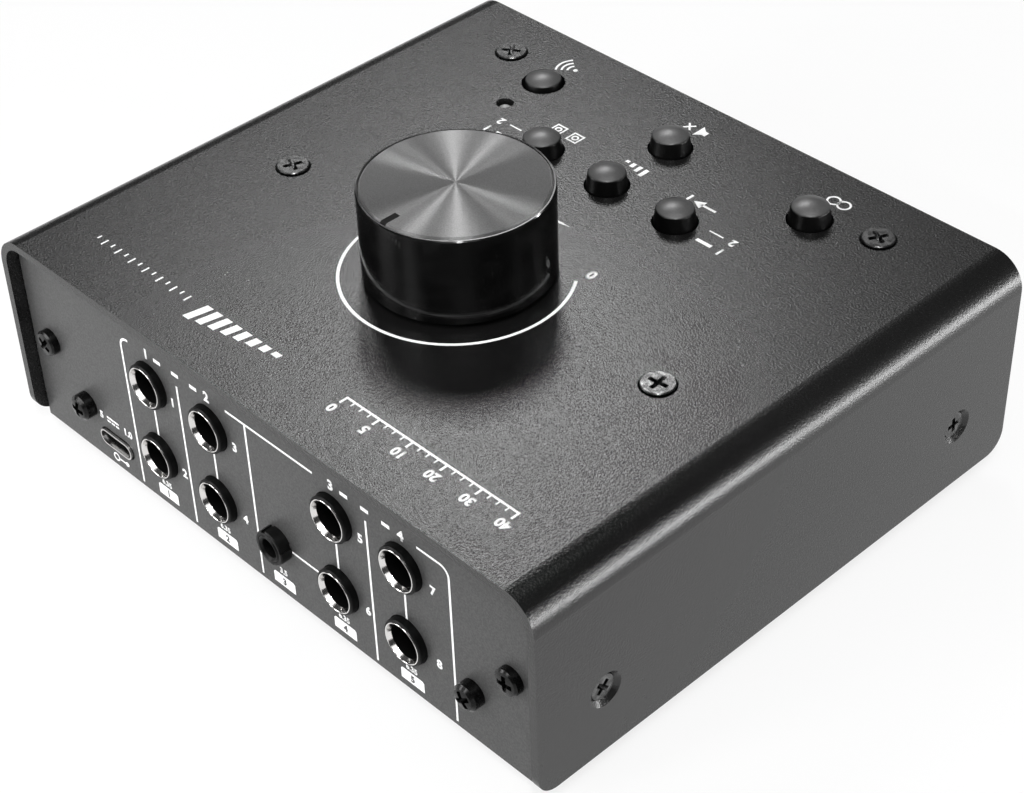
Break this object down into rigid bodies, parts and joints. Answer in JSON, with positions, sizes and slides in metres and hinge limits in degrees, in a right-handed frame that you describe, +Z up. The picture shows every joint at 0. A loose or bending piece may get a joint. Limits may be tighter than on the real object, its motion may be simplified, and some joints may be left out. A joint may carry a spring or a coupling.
{
  "type": "desktop volume controller",
  "caption": "Low rectangular desktop audio level controller: folded dark metal case, large turning knob, push buttons on top, and jack, auxiliary and power sockets on the rear panel.",
  "frame": {"origin": "on the table, under the middle of the case", "axes": "+Z up, -Y towards the user, +Y out of the rear panel with the sockets"},
  "size_m": [0.131, 0.1132, 0.0605],
  "materials": {
    "case_paint": "fine textured powder coat",
    "rubber": "matte",
    "black_steel": "black oxide, satin",
    "knob_gloss": "gloss",
    "spun_aluminium": "spun, concentric lines",
    "black_plastic": "satin",
    "bright_steel": "plated",
    "grey_steel": "plain",
    "button_plastic": "satin",
    "white_plastic": "plain",
    "switch_plastic": "plain",
    "lens": "clear lens",
    "board": "solder mask",
    "brass": "plain",
    "jack_plastic": "satin",
    "jack_plating": "bright",
    "grey_flex": "flexible flat cable"
  },
  "bodies": {
    "housing": {"top_cover": "case_paint", "base_tray": "case_paint", "rear_panel": "case_paint", "rubber_feet": "rubber", "cover_top_screws": "black_steel", "cover_side_screws": "black_steel", "panel_corner_screws": "black_steel", "panel_pillar_screws": "black_steel", "pot_body": "grey_steel", "pot_washer": "bright_steel", "pot_nut": "bright_steel", "wireless_switch": "switch_plastic", "monitor_switch": "switch_plastic", "dim_switch": "switch_plastic", "mute_switch": "switch_plastic", "input_switch": "switch_plastic", "mono_switch": "switch_plastic", "status_led": "lens", "led_spacer": "black_plastic", "control_board": "board", "board_standoffs": "brass", "board_screws": "bright_steel", "jack_board": "board", "jack_pillars": "brass", "jack_1": "jack_plastic", "jack_2": "jack_plastic", "jack_3": "jack_plastic", "jack_4": "jack_plastic", "jack_5": "jack_plastic", "jack_6": "jack_plastic", "jack_7": "jack_plastic", "jack_8": "jack_plastic", "jack_ferrules": "jack_plating", "jack_contacts": "brass", "aux_jack": "black_plastic", "aux_nut": "black_plastic", "power_shell": "bright_steel", "power_tongue": "black_plastic", "power_board": "board", "power_board_screws": "bright_steel", "wireless_module": "bright_steel", "ribbon_cable": "grey_flex", "ribbon_headers": "black_plastic"},
    "knob": {"volume_knob": "knob_gloss", "knob_cap": "spun_aluminium", "knob_pointer": "black_plastic", "pot_shaft": "bright_steel"},
    "wireless_push": {"wireless_button": "button_plastic", "wireless_stem": "white_plastic"},
    "monitor_push": {"monitor_button": "button_plastic", "monitor_stem": "white_plastic"},
    "dim_push": {"dim_button": "button_plastic", "dim_stem": "white_plastic"},
    "mute_push": {"mute_button": "button_plastic", "mute_stem": "white_plastic"},
    "input_push": {"input_button": "button_plastic", "input_stem": "white_plastic"},
    "mono_push": {"mono_button": "button_plastic", "mono_stem": "white_plastic"}
  },
  "joints": [
    {"name": "volume_turn", "type": "hinge", "parent": "housing", "child": "knob", "pos_m": [0, 0.0092, 0.043], "axis": [0, 0, 1], "range_deg": [-135, 135]},
    {"name": "wireless_press", "type": "slide", "parent": "housing", "child": "wireless_push", "axis": [0, 0, -1], "range_m": [-0.0019, 0.0004], "stiffness_N_per_m": 350},
    {"name": "monitor_press", "type": "slide", "parent": "housing", "child": "monitor_push", "axis": [0, 0, -1], "range_m": [0, 0.0023], "stiffness_N_per_m": 350},
    {"name": "dim_press", "type": "slide", "parent": "housing", "child": "dim_push", "axis": [0, 0, -1], "range_m": [0, 0.0023], "stiffness_N_per_m": 350},
    {"name": "mute_press", "type": "slide", "parent": "housing", "child": "mute_push", "axis": [0, 0, -1], "range_m": [0, 0.0023], "stiffness_N_per_m": 350},
    {"name": "input_press", "type": "slide", "parent": "housing", "child": "input_push", "axis": [0, 0, -1], "range_m": [0, 0.0023], "stiffness_N_per_m": 350},
    {"name": "mono_press", "type": "slide", "parent": "housing", "child": "mono_push", "axis": [0, 0, -1], "range_m": [0, 0.0023], "stiffness_N_per_m": 350}
  ]
}
